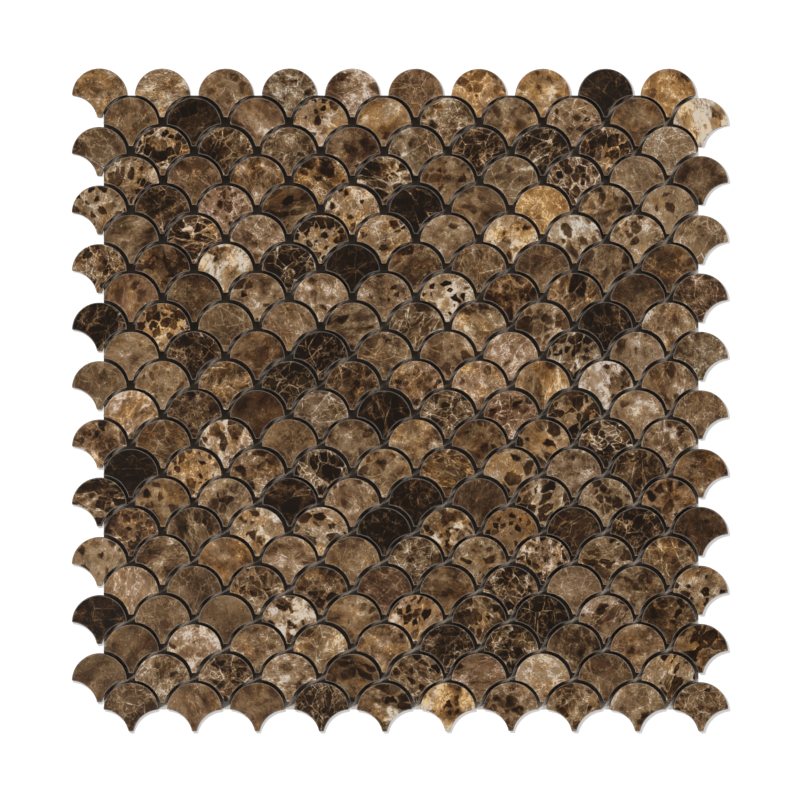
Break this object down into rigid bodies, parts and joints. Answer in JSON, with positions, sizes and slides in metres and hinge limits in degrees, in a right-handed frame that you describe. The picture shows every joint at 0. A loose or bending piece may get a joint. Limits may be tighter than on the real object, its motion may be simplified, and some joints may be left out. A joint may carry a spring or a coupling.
{
  "type": "fish scale mosaic tile sheet",
  "caption": "Sheet of fan-shaped polished brown marble chips in staggered fish scale rows, glued face up on a backing mesh, for walls and splashbacks.",
  "frame": {"origin": "middle of the sheet's outline, on the floor under the backing", "axes": "+X along a row to the right, +Y towards the crowns of the chips, +Z out of the polished face"},
  "size_m": [0.3006, 0.3038, 0.0095],
  "materials": {
    "brown_marble": "dark brown brecciated marble with tan and cream veins, sawn, honed and polished, edges eased",
    "backing_mesh": "glass fibre mesh soaked in dark adhesive"
  },
  "bodies": {
    "root": {"mesh_backing": "backing_mesh", "chip_row_01": "brown_marble", "chip_row_02": "brown_marble", "chip_row_03": "brown_marble", "chip_row_04": "brown_marble", "chip_row_05": "brown_marble", "chip_row_06": "brown_marble", "chip_row_07": "brown_marble", "chip_row_08": "brown_marble", "chip_row_09": "brown_marble", "chip_row_10": "brown_marble", "chip_row_11": "brown_marble", "chip_row_12": "brown_marble", "chip_row_13": "brown_marble", "chip_row_14": "brown_marble", "chip_row_15": "brown_marble", "chip_row_16": "brown_marble", "chip_row_17": "brown_marble", "chip_row_18": "brown_marble", "chip_row_19": "brown_marble", "chip_row_20": "brown_marble", "chip_row_21": "brown_marble", "chip_row_22": "brown_marble"}
  },
  "joints": []
}
